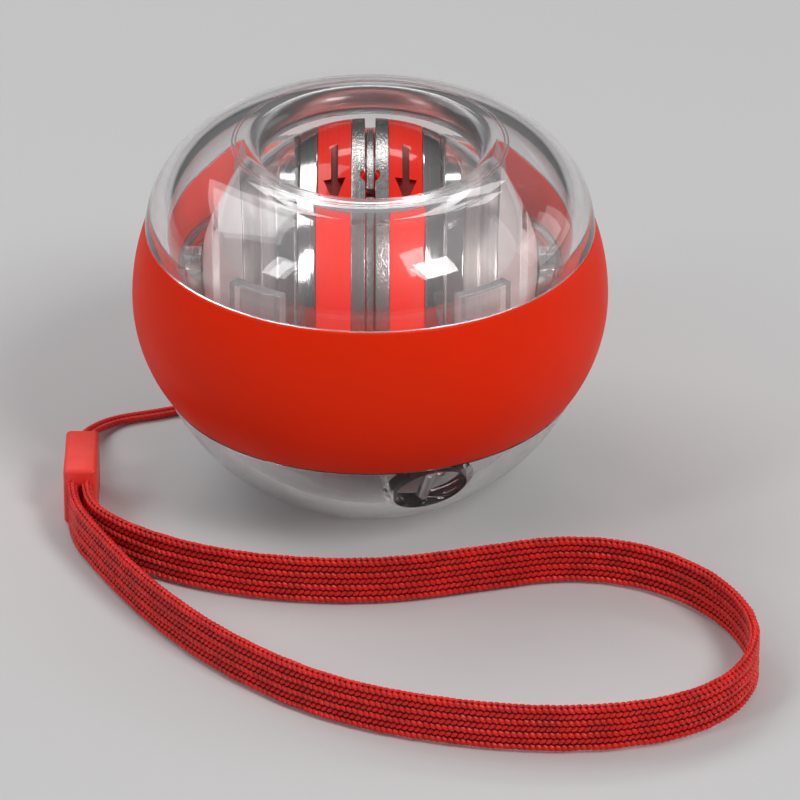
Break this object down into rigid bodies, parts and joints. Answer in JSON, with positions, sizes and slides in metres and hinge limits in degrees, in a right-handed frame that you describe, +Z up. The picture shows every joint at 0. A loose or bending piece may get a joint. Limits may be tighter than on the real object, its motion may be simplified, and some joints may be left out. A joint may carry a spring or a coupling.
{
  "type": "gyroscopic wrist ball",
  "caption": "Palm-sized clear ball with a coloured grip band, a spring-started rotor on a track ring inside, an open mouth for the thumb and a wrist strap.",
  "frame": {"origin": "centre of the flat foot that the ball stands on", "axes": "+Z up through the mouth, X along the rotor's axle at rest, -Y towards the strap's loop"},
  "size_m": [0.101, 0.1134, 0.0566],
  "materials": {
    "clear_shell": "polished clear polycarbonate",
    "clear_ring": "clear polycarbonate",
    "grip_red": "satin moulded",
    "rotor_red": "gloss moulded",
    "rotor_chrome": "polished plated",
    "rotor_cap": "semi-gloss moulded",
    "rotor_core": "moulded",
    "steel": "ground",
    "bronze": "sintered",
    "strap_red": "braided",
    "cord_red": "braided",
    "clamp_red": "moulded"
  },
  "bodies": {
    "housing": {"upper_shell": "clear_shell", "lower_shell": "clear_shell", "grip_band": "grip_red", "strap_clamp": "clamp_red", "wrist_strap": "strap_red", "loop_cord": "cord_red"},
    "ring": {"track_ring": "clear_ring", "axle_bush_left": "bronze", "axle_bush_right": "bronze"},
    "axle": {"axle": "steel", "circlip_left": "steel", "circlip_right": "steel", "bearing_inner_left": "steel", "bearing_inner_right": "steel", "clutch_cup": "steel", "clutch_rollers": "steel", "spring_arbor": "steel"},
    "rotor": {"rotor_core": "rotor_core", "groove_ring": "rotor_chrome", "red_band_left": "rotor_red", "red_band_right": "rotor_red", "flywheel_ring_left": "rotor_chrome", "flywheel_ring_right": "rotor_chrome", "weight_ring_left": "rotor_chrome", "weight_ring_right": "rotor_chrome", "rotor_cover_left": "clear_ring", "rotor_cover_right": "clear_ring", "end_cap_left": "rotor_cap", "end_cap_right": "rotor_cap", "bearing_outer_left": "steel", "bearing_outer_right": "steel", "bearing_balls_left": "steel", "bearing_balls_right": "steel", "power_spring": "steel", "spring_cover": "rotor_core", "rotor_pins": "steel"}
  },
  "joints": [
    {"name": "ring_precession", "type": "hinge", "parent": "housing", "child": "ring", "pos_m": [0, 0, 0.031], "axis": [0, 0, 1], "continuous": true},
    {"name": "axle_roll", "type": "hinge", "parent": "ring", "child": "axle", "pos_m": [0, 0, 0.031], "axis": [1, 0, 0], "continuous": true},
    {"name": "rotor_spin", "type": "hinge", "parent": "ring", "child": "rotor", "pos_m": [0, 0, 0.031], "axis": [1, 0, 0], "continuous": true}
  ],
  "couplings": [
    {"joint": "axle_roll", "follows": "ring_precession", "ratio": 26.818}
  ]
}
